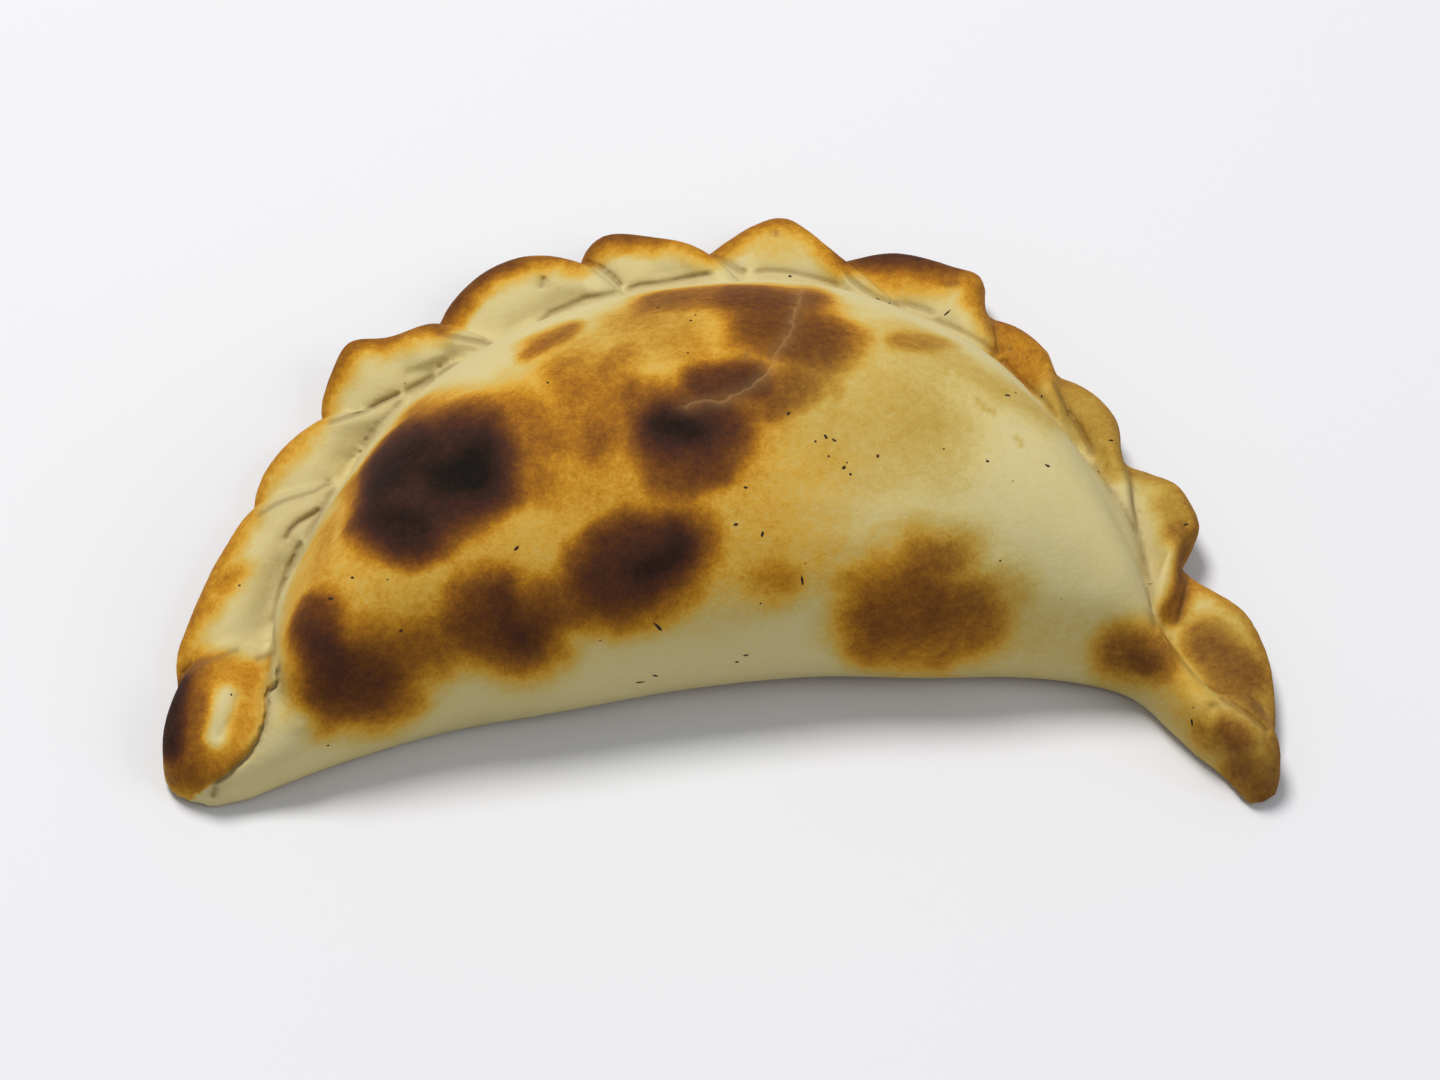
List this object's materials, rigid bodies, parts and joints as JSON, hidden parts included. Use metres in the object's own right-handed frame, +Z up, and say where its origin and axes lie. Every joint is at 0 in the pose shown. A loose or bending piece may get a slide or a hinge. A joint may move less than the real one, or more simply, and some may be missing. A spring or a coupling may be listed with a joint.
{
  "type": "baked empanada",
  "caption": "Baked half-moon empanada, a domed pocket of dough folded over its filling and closed along the curved side with a rope crimp of overlapping flaps.",
  "frame": {"origin": "on the flat base, under the middle of the bounding box", "axes": "+X along the length, towards the tip that is on the right when the fold is seen from the front; +Y from the fold towards the crimp; +Z up"},
  "size_m": [0.1364, 0.0918, 0.0332],
  "materials": {
    "pastry": "baked wheat dough, satin, pale gold with dark brown scorched spots"
  },
  "bodies": {
    "root": {"pastry": "pastry"}
  },
  "joints": []
}
